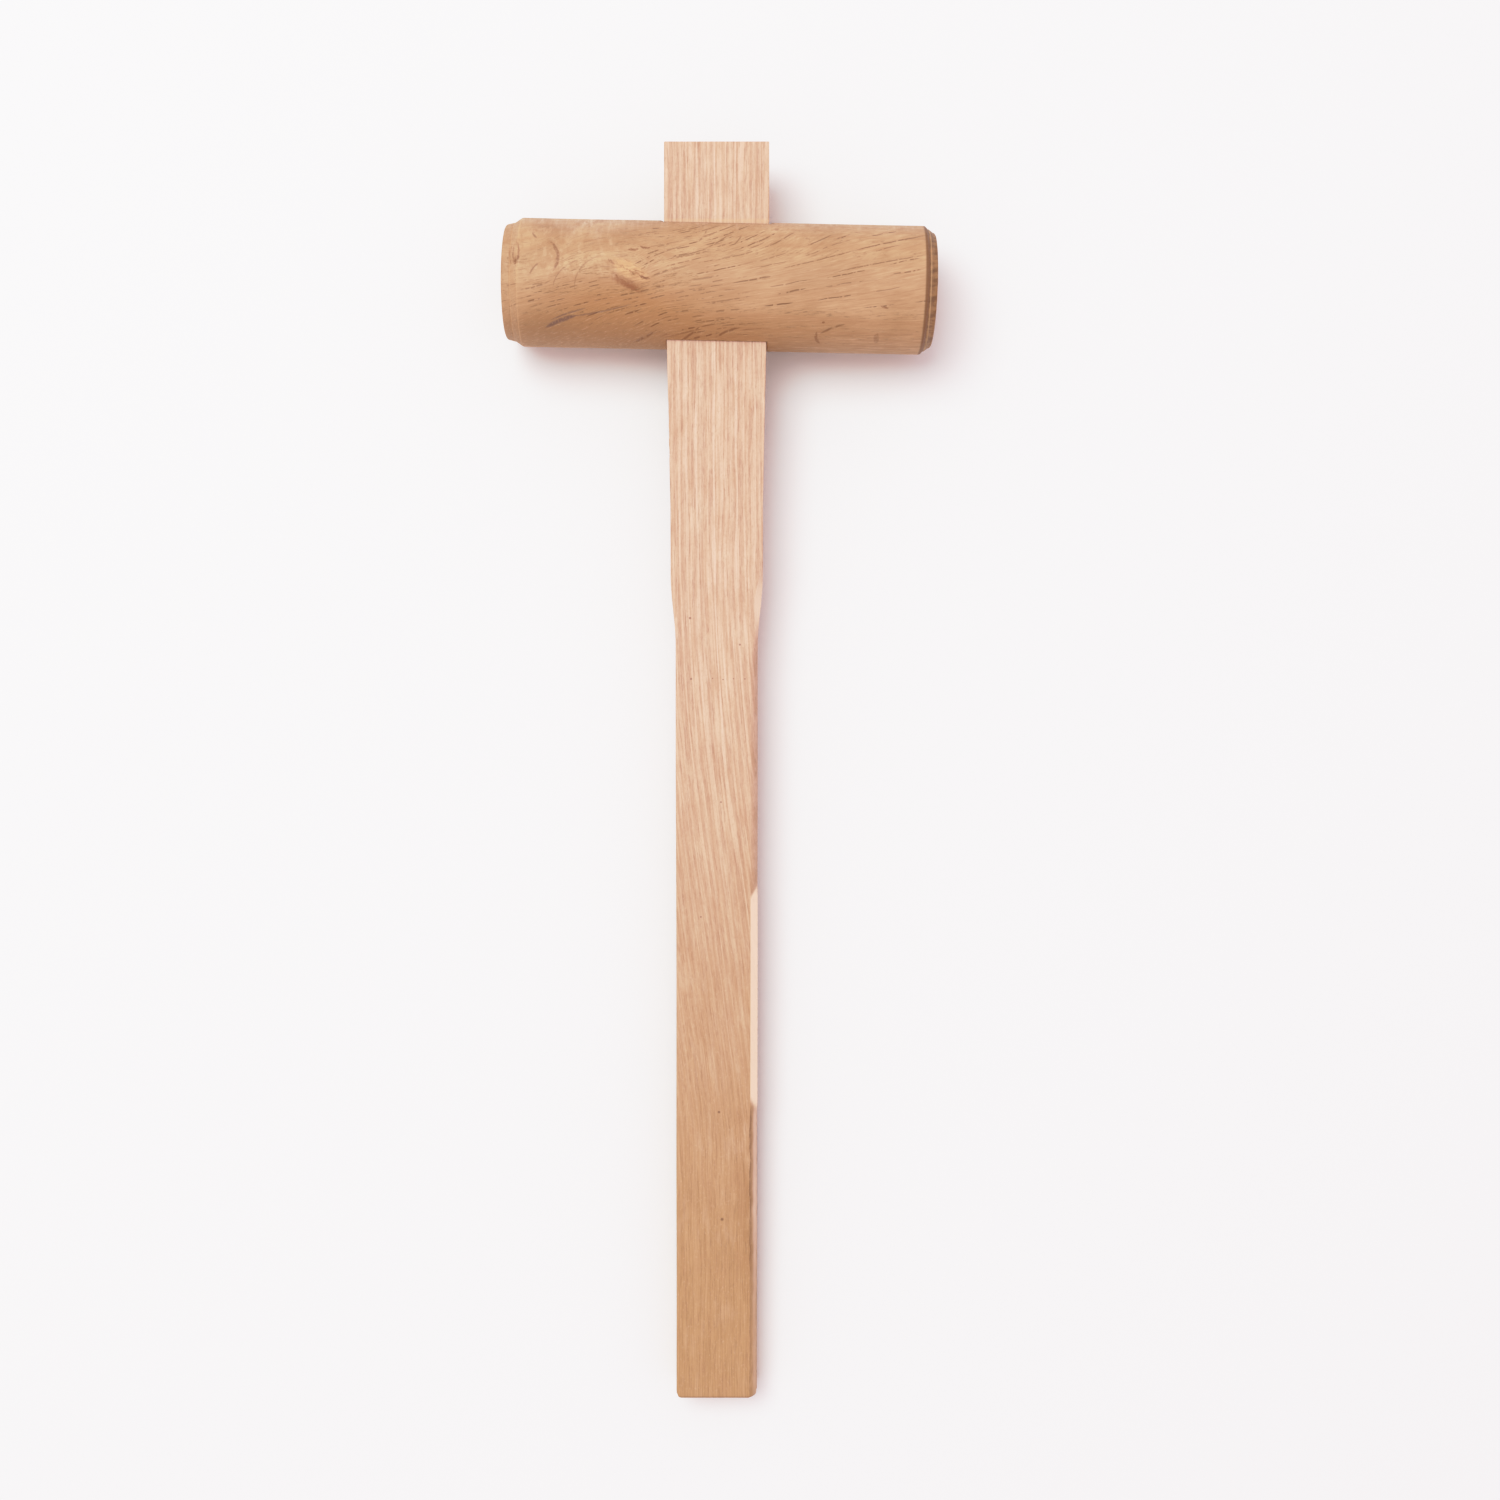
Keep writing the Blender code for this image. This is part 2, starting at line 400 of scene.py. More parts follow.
def head_turns():
    """Turns round the head, from the handle's top side by way of the upper side."""
    eye_half = math.asin((HALF_THICK + EYE_GAP) / HEAD_RADIUS)
    rim = [size * RIM_ROUND / HEAD_RADIUS for size in RIM_PLACES]
    mouth = np.linspace(-eye_half, eye_half, EYE_THICK_STEPS + 1)
    side = [eye_half + r for r in rim]
    side += list(np.linspace(side[-1], math.pi - side[-1], SIDE_STEPS))[1:-1]
    side += [math.pi - eye_half - r for r in reversed(rim)]
    turns = [*mouth, *side, *(math.pi + mouth), *(math.pi + np.array(side))]
    return np.array(turns), eye_half


def head_grid():
    """Places along and radii of the head's points, as (columns, turns), the turns, and
    the columns and turns between which the eye lies."""
    turns, eye_half = head_turns()
    left, right = eye_edges(turns)
    left_end, right_end = head_end(*LEFT_END), head_end(*RIGHT_END)
    columns = [(-HEAD_HALF + depth + 0 * turns, radius + 0 * turns) for depth, radius in left_end]
    start, finish = -HEAD_HALF + left_end[-1][0], HEAD_HALF - right_end[-1][0]
    rim = [size * RIM_ROUND for size in reversed(RIM_PLACES)]
    side_steps = round((-start + float(left.mean())) / COLUMN_STEP)
    barrel = HEAD_RADIUS + 0 * turns
    for step in range(1, side_steps):
        share = step / side_steps
        columns.append((start * (1 - share) + (left - rim[0]) * share, barrel))
    columns += [(left - size, barrel) for size in rim]
    first = len(columns)
    for step in range(EYE_WIDE_STEPS + 1):
        share = step / EYE_WIDE_STEPS
        columns.append((left * (1 - share) + right * share, barrel))
    last = len(columns) - 1
    columns += [(right + size, barrel) for size in reversed(rim)]
    for step in range(1, side_steps):
        share = step / side_steps
        columns.append(((right + rim[0]) * (1 - share) + finish * share, barrel))
    columns += [(HEAD_HALF - depth + 0 * turns, radius + 0 * turns)
                for depth, radius in reversed(right_end)]
    along = np.array([c[0] for c in columns])
    radius = np.array([c[1] for c in columns])
    return along, radius, turns, eye_half, first, last


def rim_distance(along, turns, eye_half):
    """How far each grid point of the barrel is from the nearest mouth of the eye."""
    left, right = eye_edges(turns)
    beside = np.maximum(np.maximum(left - along, along - right), 0)
    turn = np.minimum(np.abs((turns + math.pi) % (2 * math.pi) - math.pi),
                      np.abs(turns - math.pi))
    return np.hypot(beside, np.maximum(turn - eye_half, 0) * HEAD_RADIUS)


def rim_drop(distance, turns):
    """How far the rounded rim of the eye falls below the barrel at each grid point."""
    size = np.where(np.cos(turns) > 0, RIM_ROUND, RIM_ROUND / 3)
    away = np.clip(1 - distance / size, 0, 1)
    return size * (1 - np.sqrt(1 - away**2)) * 0.75


def head_dents(local):
    """Small dents from use, as a depth for each point."""
    random = np.random.default_rng(DENT_SEED)
    depth = np.zeros(len(local))
    for _ in range(DENT_COUNT):
        side = random.choice((-1, 1))
        along = side * (HEAD_HALF - random.uniform(1, 30) * MM)
        turn = random.uniform(0, 2 * math.pi)
        centre = np.array([along, HEAD_RADIUS * math.cos(turn), HEAD_RADIUS * math.sin(turn)])
        size = random.uniform(1.2, 3.0) * MM
        away = np.linalg.norm(local - centre, axis=1)
        depth += random.uniform(0.1, 0.3) * MM * np.exp(-((away / size) ** 2))
    return depth


def head_flow(along, to_top):
    """The rows that rays and pores follow, and how many there are to a millimetre.
    They fan out to the right, steepen at the eye, and curl round a knot and the left end."""
    def rows(x, y):
        dense = np.exp(-0.0065 * np.maximum(x, -25))  # the fan to the right
        row = (y + 33) * dense - 33 - 0.27 * np.minimum(x + 25, 0)
        row -= 0.25 * (x - 10) * np.exp(-(((x - 10) / 45) ** 2)) * ease(y, 5, 25)
        row -= 5 * np.tanh((x + 15) / 26) * ease(y, -15, -28)
        row += 12 * np.exp(-(((x + 88) / 18) ** 2) - ((y - 14) / 15) ** 2)
        return row + 5 * np.exp(-(((x + 41) / 11) ** 2) - ((y - 3) / 9) ** 2)

    x, y, nudge = along / MM, to_top / MM, 0.5
    slope_x = (rows(x + nudge, y) - rows(x - nudge, y)) / (2 * nudge)
    slope_y = (rows(x, y + nudge) - rows(x, y - nudge)) / (2 * nudge)
    return rows(x, y), np.hypot(slope_x, slope_y)


def patch(points, x, y, wide, high):
    """1 in the middle of a soft oval patch on the head's upper side, in millimetres."""
    away = ((points[:, 0] / MM - x) / wide) ** 2 + ((points[:, 1] / MM - y) / high) ** 2
    return np.exp(-away) * (points[:, 2] > 0)


def head_points(along, radius, turns, from_rim):
    """The skin's points along, towards the top end and up, worn, dented and rounded."""
    turn = np.broadcast_to(turns, along.shape)
    local = np.stack([along, radius * np.cos(turn), radius * np.sin(turn)], axis=2)
    local = local.reshape(-1, 3)
    drop = rim_drop(from_rim, turns).ravel()
    flat = radius.ravel()
    wear = 0.10 * MM * (wander(local, 45 * MM, 11) - 1) + 0.03 * MM * wander(local, 9 * MM, 12)
    wear -= head_dents(local)
    rounded = flat - drop + wear * ease(flat, 10 * MM, 26 * MM)
    # Round the eye's rims by moving them down the eye, which keeps its own width.
    by_rim = ease(from_rim.ravel(), RIM_PLACES[-1] * RIM_ROUND, RIM_ROUND)
    depth_up = local[:, 2] * (by_rim + (1 - by_rim) * rounded / flat)
    local[:, 1] = np.sign(local[:, 1]) * np.sqrt(np.maximum(rounded**2 - depth_up**2, 0))
    local[:, 2] = depth_up
    on_face = np.abs(along.ravel()) > HEAD_HALF - 0.01 * MM
    sink = 0.12 * MM * (1 + wander(local, 12 * MM, 13))
    sink += 0.05 * MM * (1 + wander(local, 4 * MM, 14))
    local[:, 0] -= np.sign(local[:, 0]) * sink * on_face
    return local


def eye_walls(points, upper_mouth, lower_mouth, quads):
    """Joins the eye's two mouths, each a loop of points, by rings down its walls."""
    rings = [upper_mouth]
    for row in range(1, EYE_DEEP_STEPS):
        share = row / EYE_DEEP_STEPS
        rings.append([])
        for upper, lower in zip(upper_mouth, lower_mouth):
            rings[-1].append(len(points))
            points.append(points[upper] * (1 - share) + points[lower] * share)
    rings.append(lower_mouth)
    for upper, lower in zip(rings, rings[1:]):
        for step in range(len(upper)):
            after = (step + 1) % len(upper)
            quads.append((upper[step], lower[step], lower[after], upper[after]))


def head_skin():
    """All of the head's points and faces, and how far the skin's points are from the eye's
    upper mouth, in millimetres."""
    along, radius, turns, eye_half, first, last = head_grid()
    from_rim = rim_distance(along, turns, eye_half)
    points = list(head_points(along, radius, turns, from_rim))
    columns, around = along.shape

    def index(column, step):
        return column * around + step % around

    top_last = EYE_THICK_STEPS
    bottom_first = int(np.argmin(np.abs(turns - (math.pi - eye_half))))
    quads = []
    for column in range(columns - 1):
        for step in range(around):
            in_top = step < top_last
            in_bottom = bottom_first <= step < bottom_first + EYE_THICK_STEPS
            if first <= column < last and (in_top or in_bottom):
                continue
            quads.append((index(column, step), index(column, step + 1),
                          index(column + 1, step + 1), index(column + 1, step)))

    # A fan closes the middle of each striking face.
    for column, side in ((0, -1), (columns - 1, 1)):
        centre = len(points)
        points.append(np.array([side * (HEAD_HALF - 0.15 * MM), 0.0, 0.0]))
        for step in range(around):
            pair = (index(column, step), index(column, step + 1))
            quads.append((centre, *(pair[::-1] if side < 0 else pair)))

    mouth = [(column, 0) for column in range(first, last)]
    mouth += [(last, step) for step in range(top_last)]
    mouth += [(column, top_last) for column in range(last, first, -1)]
    mouth += [(first, step) for step in range(top_last, 0, -1)]
    upper = [index(column, step) for column, step in mouth]
    lower = [index(column, bottom_first + EYE_THICK_STEPS - step) for column, step in mouth]
    eye_walls(points, upper, lower, quads)
    rim = np.where(np.cos(turns) > 0, np.minimum(from_rim / MM, FAR), FAR).ravel()
    return np.array(points), quads, rim


def head_timber(points, rows):
    """Each point's place in the timber: across the flow, along the head, and ring depth."""
    depth = np.hypot(points[:, 1] - PITH[0], points[:, 2] - PITH[1])
    depth += 1.2 * MM * wander(points * (0.35, 1, 1), 22 * MM, 15)
    cathedral = 5 * patch(points, -62, 8, 26, 13) + 3 * patch(points, -40, 6, 12, 10)
    return np.stack([rows, points[:, 0] / MM, depth / MM + cathedral], axis=1)


def head_tint(points):
    """Soft changes of colour: golden round the knot, with painted shade as a darker gold on the side towards the
    butt; a worn patch at the top left, with painted light as a paler pinkish grey on the side towards the handle's
    top end; and dark.
    """
    cloud = wander(points, 16 * MM, 16)
    golden = 1.0 * patch(points, -46, -14, 34, 13) + 0.35 * patch(points, 0, -20, 55, 9)
    # Painted shade: the upper half darker and more golden on the side towards the butt, which faces away from the
    # light.
    golden += 0.55 * ease(points[:, 1] / MM, -12, -26) * (points[:, 2] > 0)
    golden -= 0.3 * patch(points, -72, 10, 20, 9)
    golden += (points[:, 2] < 0) * (0.35 + 0.3 * cloud)
    worn = patch(points, -62, 24, 17, 6) * (0.75 + 0.6 * wander(points, 6 * MM, 17))
    # Painted light: the side towards the handle's top end, which faces the light, made a paler pinkish grey.
    worn += 0.6 * ease(points[:, 1] / MM, 20, 29) * (0.7 + 0.5 * cloud)
    dark = 1.0 * patch(points, -80, 21, 8, 3.5) + 0.6 * patch(points, -46, 18.5, 7, 3)
    dark += 0.9 * patch(points, -82, -25, 22, 7) + 0.5 * patch(points, -40, -28, 22, 6)
    return np.stack([golden, worn, dark], axis=1).clip(0, 1)


def build_head():
    points, quads, skin_rim = head_skin()
    world = HEAD_CENTRE + points @ np.array([HEAD_ALONG, HEAD_TO_TOP, UP])
    head = mesh_piece("oak_head", world, quads, 24)
    rows, density = head_flow(points[:, 0], points[:, 1])
    point_vectors(head, "timber", head_timber(points, rows))
    point_vectors(head, "place", points / MM)
    point_vectors(head, "tint", head_tint(points))
    # "flow" is how dense the rows are and how far the eye's upper mouth is.
    rim = np.full(len(points), FAR)
    rim[:len(skin_rim)] = skin_rim
    point_vectors(head, "flow", np.stack([density, rim, 0 * rim], axis=1))
    flags = []
    for polygon in head.data.polygons:
        ends = all(abs(points[v][0]) > HEAD_HALF - 0.5 * MM for v in polygon.vertices)
        flags += [1.0 if ends else 0.0] * polygon.loop_total
    corner_values(head, "end_grain", flags)
    return head


# ---- materials

LEFT_RIDGE, RIGHT_RIDGE = (-(HEAD_HALF - LEFT_END[2]) / MM, (HEAD_HALF - RIGHT_END[2]) / MM)
LEFT_TURNED, RIGHT_TURNED = LEFT_RIDGE + LEFT_END[0] / MM, RIGHT_RIDGE - RIGHT_END[0] / MM
HEAD_RING_SPACING = 3.1  # millimetres, as all lengths in the materials are
HANDLE_RING_SPACING = 2.7


def srgb(red, green, blue):
    """Linear colour from 0 to 255 screen values."""
    def one(value):
        value /= 255
        return value / 12.92 if value <= 0.04045 else ((value + 0.055) / 1.055) ** 2.4
    return (one(red), one(green), one(blue))


class Nodes:
    """Short calls that build one material's nodes. A value is a number or an output."""

    def __init__(self, name):
        self.material = bpy.data.materials.new(name)
        self.material.use_nodes = True
        self.tree = self.material.node_tree
        self.shader = self.tree.nodes["Principled BSDF"]

    def put(self, socket, value):
        if isinstance(value, bpy.types.NodeSocket):
            self.tree.links.new(value, socket)
        elif hasattr(value, "__len__") and len(value) == 3 and socket.type == "RGBA":
            socket.default_value = (*value, 1.0)
        else:
            socket.default_value = value

    def attribute(self, name):
        node = self.tree.nodes.new("ShaderNodeAttribute")
        node.attribute_name = name
        return node

    def number(self, name):
        return self.attribute(name).outputs["Fac"]

    def parts(self, name):
        return self.split(self.attribute(name).outputs["Vector"])

    def math(self, operation, *values):
        node = self.tree.nodes.new("ShaderNodeMath")
        node.operation = operation
        for socket, value in zip(node.inputs, values):
            self.put(socket, value)
        return node.outputs[0]

    def add(self, a, b):
        return self.math("ADD", a, b)

    def times(self, first, *others):
        for other in others:
            first = self.math("MULTIPLY", first, other)
        return first

    def less(self, a, b):
        return self.math("SUBTRACT", a, b)

    def over(self, a, b):
        return self.math("DIVIDE", a, b)

    def most(self, first, *others):
        for other in others:
            first = self.math("MAXIMUM", first, other)
        return first

    def without(self, mask, share=1.0):
        """1 where the mask is 0, and 1 - share where it is 1."""
        return self.less(1.0, self.times(mask, share))

    def off(self, value, place):
        """How far the value is from the place."""
        return self.math("ABSOLUTE", self.less(value, place))

    def vector(self, x, y, z=0.0):
        node = self.tree.nodes.new("ShaderNodeCombineXYZ")
        for socket, value in zip(node.inputs, (x, y, z)):
            self.put(socket, value)
        return node.outputs[0]

    def split(self, vector):
        node = self.tree.nodes.new("ShaderNodeSeparateXYZ")
        self.put(node.inputs[0], vector)
        return node.outputs

    def noise(self, *axes, detail=2.0, roughness=0.5):
        """Noise in about 0.3 to 0.7. Each axis is an output and how many features it has to
        a unit, or a number that sets this noise apart from the others."""
        node = self.tree.nodes.new("ShaderNodeTexNoise")
        axes = [self.times(*axis) if isinstance(axis, tuple) else axis for axis in axes]
        self.put(node.inputs["Vector"], self.vector(*axes))
        node.inputs["Scale"].default_value = 1.0
        node.inputs["Detail"].default_value = detail
        node.inputs["Roughness"].default_value = roughness
        return node.outputs["Fac"]

    def distance(self, flat, centre):
        node = self.tree.nodes.new("ShaderNodeVectorMath")
        node.operation = "DISTANCE"
        self.put(node.inputs[0], flat)
        node.inputs[1].default_value = (centre[0], centre[1], 0.0)
        return node.outputs["Value"]

    def random(self, *cell):
        """Three random numbers, the same all over one whole-number cell."""
        node = self.tree.nodes.new("ShaderNodeTexWhiteNoise")
        node.noise_dimensions = "3D"
        self.put(node.inputs["Vector"], self.vector(*cell))
        return self.split(node.outputs["Color"])

    def step(self, value, low, high, out_low=0.0, out_high=1.0):
        """out_low at low, out_high at high, smooth between. low may be the larger."""
        node = self.tree.nodes.new("ShaderNodeMapRange")
        node.interpolation_type = "SMOOTHSTEP"
        for name, number in (("Value", value), ("From Min", low), ("From Max", high),
                             ("To Min", out_low), ("To Max", out_high)):
            self.put(node.inputs[name], number)
        return node.outputs["Result"]

    def mix(self, share, a, b):
        node = self.tree.nodes.new("ShaderNodeMix")
        node.data_type = "RGBA"
        self.put(node.inputs["Factor"], share)
        self.put(node.inputs[6], a)
        self.put(node.inputs[7], b)
        return node.outputs[2]

    def tint(self, colour, screen_colour, *shares):
        """The colour, mixed towards a screen colour by the product of the shares."""
        return self.mix(self.times(*shares), colour, srgb(*screen_colour))

    def bump(self, height, distance, strength):
        node = self.tree.nodes.new("ShaderNodeBump")
        node.inputs["Distance"].default_value = distance
        node.inputs["Strength"].default_value = strength
        self.put(node.inputs["Height"], height)
        self.put(self.shader.inputs["Normal"], node.outputs["Normal"])


def blunt(n, share):
    """1 in the middle and along most of a mark, falling to 0 at its ends, where share is 1."""
    square = n.times(share, share)
    return n.without(n.times(square, square))


def ray_dashes(n, rows, density, along, side, spacing, length, thick, amount, seed):
    """Dark ends of the oak's rays: thin broken lines in rows, tapered at both ends. density
    is the rows' own units to a true millimetre, and amount the share of places with one."""
    row_place = n.over(rows, spacing)
    row = n.math("FLOOR", row_place)
    layer = n.math("GREATER_THAN", side, 0.0)
    by_row = n.random(row, layer, seed)
    cell_place = n.add(n.over(along, length), n.times(by_row[0], 7.0))
    cell = n.math("FLOOR", cell_place)
    by_cell = n.random(cell, n.add(row, seed), layer)
    more = n.random(row, cell, seed + 3.7)
    centre_along = n.add(0.5, n.times(n.add(by_cell[0], -0.5), 0.25))
    sway = n.times(n.add(by_cell[1], -0.5), 0.14)
    centre_row = n.add(n.add(0.28, n.times(by_row[1], 0.44)), sway)
    off_along = n.less(n.math("FRACT", cell_place), centre_along)
    off_row = n.over(n.times(n.off(n.math("FRACT", row_place), centre_row), spacing), density)
    taper = blunt(n, n.over(off_along, n.add(0.22, n.times(by_cell[2], 0.20))))
    taper = n.times(taper, n.times(thick, n.add(0.65, n.times(more[0], 0.7))))
    mark = n.step(n.less(taper, off_row), -0.16, 0.12)
    present = n.math("LESS_THAN", more[1], amount)
    breaks = n.noise((along, 0.42), (row, 3.3), seed, detail=1.0)
    mark = n.times(mark, n.step(breaks, 0.40, 0.50, 0.15, 1.0))
    return n.times(mark, n.times(present, n.add(0.5, n.times(more[2], 0.5))))


def stroke(n, flat, start, end, bulge, width):
    """A tapered mark along an arc between two places, bulge to the right of its course."""
    start, end = Vector(start), Vector(end)
    chord = end - start
    middle = (start + end) / 2
    right = Vector((chord.y, -chord.x)).normalized()
    radius = (chord.length**2 / 4 + bulge**2) / (2 * bulge)
    centre = middle + right * (bulge - radius)
    crest = middle + right * bulge
    from_arc = n.off(n.distance(flat, centre), abs(radius))
    taper = n.times(blunt(n, n.times(n.distance(flat, crest), 2 / chord.length)), width / 2)
    soft = 0.14 + 0.22 * width
    return n.step(n.less(taper, from_arc), -soft, soft)


def strokes(n, flat, marks):
    total = 0.0
    for *shape, strength in marks:
        total = n.most(total, n.times(stroke(n, flat, *shape), strength))
    return total


# Marks on the upper side, in millimetres along the head and towards the handle's top end:
# start, end, bulge, width and strength.
RAY_MARKS = (
    ((-82.5, 3.5), (-87.5, -2.5), 0.8, 0.7, 0.7),
    ((-87.0, 18.5), (-85.0, 15.0), 0.3, 0.8, 0.7),
    ((-62.0, 5.0), (-77.0, -9.5), 4.0, 0.6, 0.5),
    ((-54.0, 7.0), (-66.5, -10.0), 4.5, 0.6, 0.45),
    ((-92.0, -9.0), (-78.0, -5.0), 0.8, 0.6, 0.7),
    ((-29.5, -6.8), (-23.5, -6.0), 0.2, 0.9, 0.8),
    ((-33.0, 6.0), (-16.5, 13.0), -0.4, 0.5, 0.75),
    ((-24.0, 6.0), (-5.5, 12.0), 0.5, 0.55, 0.8),
    ((-6.0, 12.0), (3.6, 19.0), 0.5, 0.6, 0.8),
    ((-10.0, 15.0), (-6.0, 23.0), 0.6, 0.7, 0.6),
    ((6.5, 14.0), (9.7, 18.5), 0.3, 0.7, 0.7),
    ((13.5, 12.0), (20.5, 15.6), 0.3, 0.55, 0.7),
    ((30.0, 3.0), (62.0, 12.0), 0.3, 0.5, 0.8),
    ((63.0, 12.3), (95.0, 20.8), -0.3, 0.65, 0.9),
    ((54.0, 1.5), (95.0, 10.5), -0.3, 0.5, 0.8),
    ((38.5, 13.3), (52.0, 20.5), 0.3, 0.55, 0.85),
    ((54.0, 18.0), (60.5, 21.0), 0.2, 0.6, 0.85),
    ((-40.0, -28.6), (-29.0, -24.5), 0.4, 0.8, 0.8),
    ((-18.0, -28.0), (-9.0, -23.0), 0.4, 0.8, 0.8),
    ((-1.0, -26.5), (10.0, -23.0), -0.5, 0.8, 0.85),
    ((48.0, -24.3), (59.0, -20.7), -0.3, 0.8, 0.8),
)
KNOT_CENTRE = (-41.0, 0.5)
KNOT_TILT = math.radians(-29)
KNOT_MARKS = (
    ((-79.0, 14.0), (-77.0, -1.0), -3.2, 1.5, 0.75),
    ((-51.5, 5.5), (-48.0, 3.0), 0.3, 1.0, 0.6),
    ((-42.5, 10.4), (-37.5, 10.8), 0.3, 1.1, 0.85),
    ((-37.0, 12.2), (-32.5, 11.2), 0.3, 1.0, 0.85),
    ((-36.5, -2.2), (-32.0, -3.2), 0.2, 1.2, 0.95),
    ((-96.6, 11.8), (-96.4, 2.6), 0.8, 0.9, 0.60),
    ((-95.4, 11.0), (-94.8, 3.0), 0.5, 0.9, 0.60),
    ((-94.2, 13.2), (-93.0, 5.0), -0.5, 0.9, 0.70),
    ((-92.7, 6.8), (-94.6, 2.2), 0.2, 1.9, 0.95),
    ((46.2, -23.5), (48.2, -28.0), 1.3, 1.1, 0.7),
    ((74.0, -24.0), (75.0, -27.5), 0.3, 2.4, 0.5),
    ((48.3, -20.1), (49.4, -20.2), 0.1, 1.3, 0.9),
    ((75.0, -13.0), (79.0, -13.8), 0.1, 1.0, 0.8),
    ((25.2, 23.2), (27.4, 23.2), 0.1, 2.4, 0.4),
)
CHECK_MARKS = (
    ((-81.0, -24.3), (-66.0, -19.3), -0.4, 1.5, 1.0),
    ((-78.0, -21.3), (-62.0, -16.5), -0.3, 0.6, 0.8),
    ((-69.0, -19.8), (-41.0, -14.6), 0.5, 0.6, 0.7),
)


def head_wood(n):
    """What the steps of the head's material share: places in millimetres, and masks."""
    w = SimpleNamespace()
    w.rows, w.along, w.depth = n.parts("timber")
    w.x, w.to_top, w.up = n.parts("place")
    w.golden, w.worn, w.dark = n.parts("tint")
    w.density, w.rim, _ = n.parts("flow")
    w.end = n.number("end_grain")
    shake = n.add(n.noise((w.x, 0.35), (w.to_top, 0.35), 2.0, detail=3.0, roughness=0.7), -0.5)
    w.flat = n.vector(n.add(w.x, n.times(shake, 1.6)), n.add(w.to_top, n.times(shake, 1.3)))
    w.knot_x, w.knot_top = (n.add(place, n.times(shake, 3.0)) for place in (w.x, w.to_top))
    w.upper = n.step(w.up, 0.0, 4.0)
    w.curls = n.times(n.step(w.to_top, -8.0, 2.0), n.step(w.x, -38.0, -50.0), w.upper)
    w.ring = n.math("FRACT", n.times(w.depth, 1 / HEAD_RING_SPACING))
    w.late = n.times(n.step(w.ring, 0.30, 0.92), n.step(w.ring, 1.0, 0.93))
    w.fibre = n.noise((w.rows, 2.2), (w.along, 0.10), (w.depth, 0.8), detail=4.0, roughness=0.65)
    pores = n.noise((w.rows, 3.2), (w.along, 0.26), (w.depth, 2.0))
    w.pore = n.times(n.step(pores, 0.60, 0.70), n.step(w.ring, 0.65, 0.15))
    return w


def head_ground(n, w):
    """The ground colour, with soft clouds, its golden and dark patches, a worn patch, and the painted shade and
    painted light of the head's two sides.
    """
    broad = n.noise((w.along, 0.035), (w.rows, 0.07), 3.1, detail=3.0)
    cloud = n.noise((w.x, 0.06), (w.to_top, 0.12), (w.up, 0.12), detail=4.0, roughness=0.6)
    scuff = n.noise((w.x, 0.55), (w.to_top, 0.10), 5.0, detail=3.0, roughness=0.6)
    colour = n.tint(srgb(184, 147, 107), (200, 164, 124), n.step(broad, 0.36, 0.66))
    colour = n.tint(colour, (180, 141, 102), n.step(cloud, 0.45, 0.75, 0.0, 0.6))
    # Golden patches, and painted shade on the side towards the butt.
    colour = n.tint(colour, (174, 128, 82), w.golden)
    # Painted light and the worn patch: a paler pinkish grey, scuffed lighter and darker.
    colour = n.tint(colour, (196, 166, 142), w.worn, 0.60)
    colour = n.tint(colour, (222, 196, 172), w.worn, n.step(scuff, 0.50, 0.66, 0.0, 0.6))
    colour = n.tint(colour, (160, 120, 86), w.worn, n.step(scuff, 0.44, 0.32, 0.0, 0.5))
    return n.tint(colour, (148, 106, 66), w.dark, 0.60)


def knot_colour(n, w, colour):
    """A closed knot: a golden lens of curling wood with a soft reddish band below it."""
    cos, sin = math.cos(KNOT_TILT), math.sin(KNOT_TILT)
    off_x, off_top = n.add(w.knot_x, -KNOT_CENTRE[0]), n.add(w.knot_top, -KNOT_CENTRE[1])
    along = n.add(n.times(off_x, cos), n.times(off_top, sin))
    across = n.add(n.times(off_x, -sin), n.times(off_top, cos))
    bowed = n.add(across, n.times(along, along, -0.014))
    lens = n.step(n.distance(n.vector(n.times(along, 0.42), across), (0, 0)), 5.0, 2.4)
    lens = n.times(lens, w.upper)
    strand = n.noise((bowed, 0.75), (along, 0.08), 12.0, detail=3.0, roughness=0.6)
    colour = n.tint(colour, (216, 170, 120), lens, n.step(strand, 0.38, 0.54, 0.1, 0.70))
    colour = n.tint(colour, (160, 110, 66), lens, n.step(strand, 0.47, 0.38, 0.0, 0.70))
    band = n.times(n.step(n.off(bowed, -6.4), 3.0, 0.2), n.step(n.off(along, 1.5), 10.5, 4.0))
    fray = n.noise((bowed, 0.8), (along, 0.18), 3.0, detail=3.0, roughness=0.6)
    band = n.times(band, w.upper, n.step(fray, 0.34, 0.54, 0.45, 1.0))
    return n.tint(colour, (138, 78, 36), band, 0.95)


def head_grain(n, w, colour):
    """Growth rings, then fibre and pores along the grain, and blotches where it curls."""
    colour = n.tint(colour, (164, 112, 72), w.late, 0.16)
    straight = n.without(w.curls, 0.6)
    colour = n.tint(colour, (158, 112, 76), straight, n.step(w.fibre, 0.42, 0.74, 0.0, 0.42))
    colour = n.tint(colour, (222, 184, 146), straight, n.step(w.fibre, 0.46, 0.28, 0.0, 0.30))
    blotch = n.noise((w.x, 0.30), (w.to_top, 0.18), 7.0, detail=4.0, roughness=0.65)
    colour = n.tint(colour, (172, 130, 90), w.curls, n.step(blotch, 0.50, 0.68, 0.0, 0.55))
    colour = n.tint(colour, (212, 178, 142), w.curls, n.step(blotch, 0.48, 0.32, 0.0, 0.40))
    return n.tint(colour, (134, 88, 56), w.pore, 0.40)


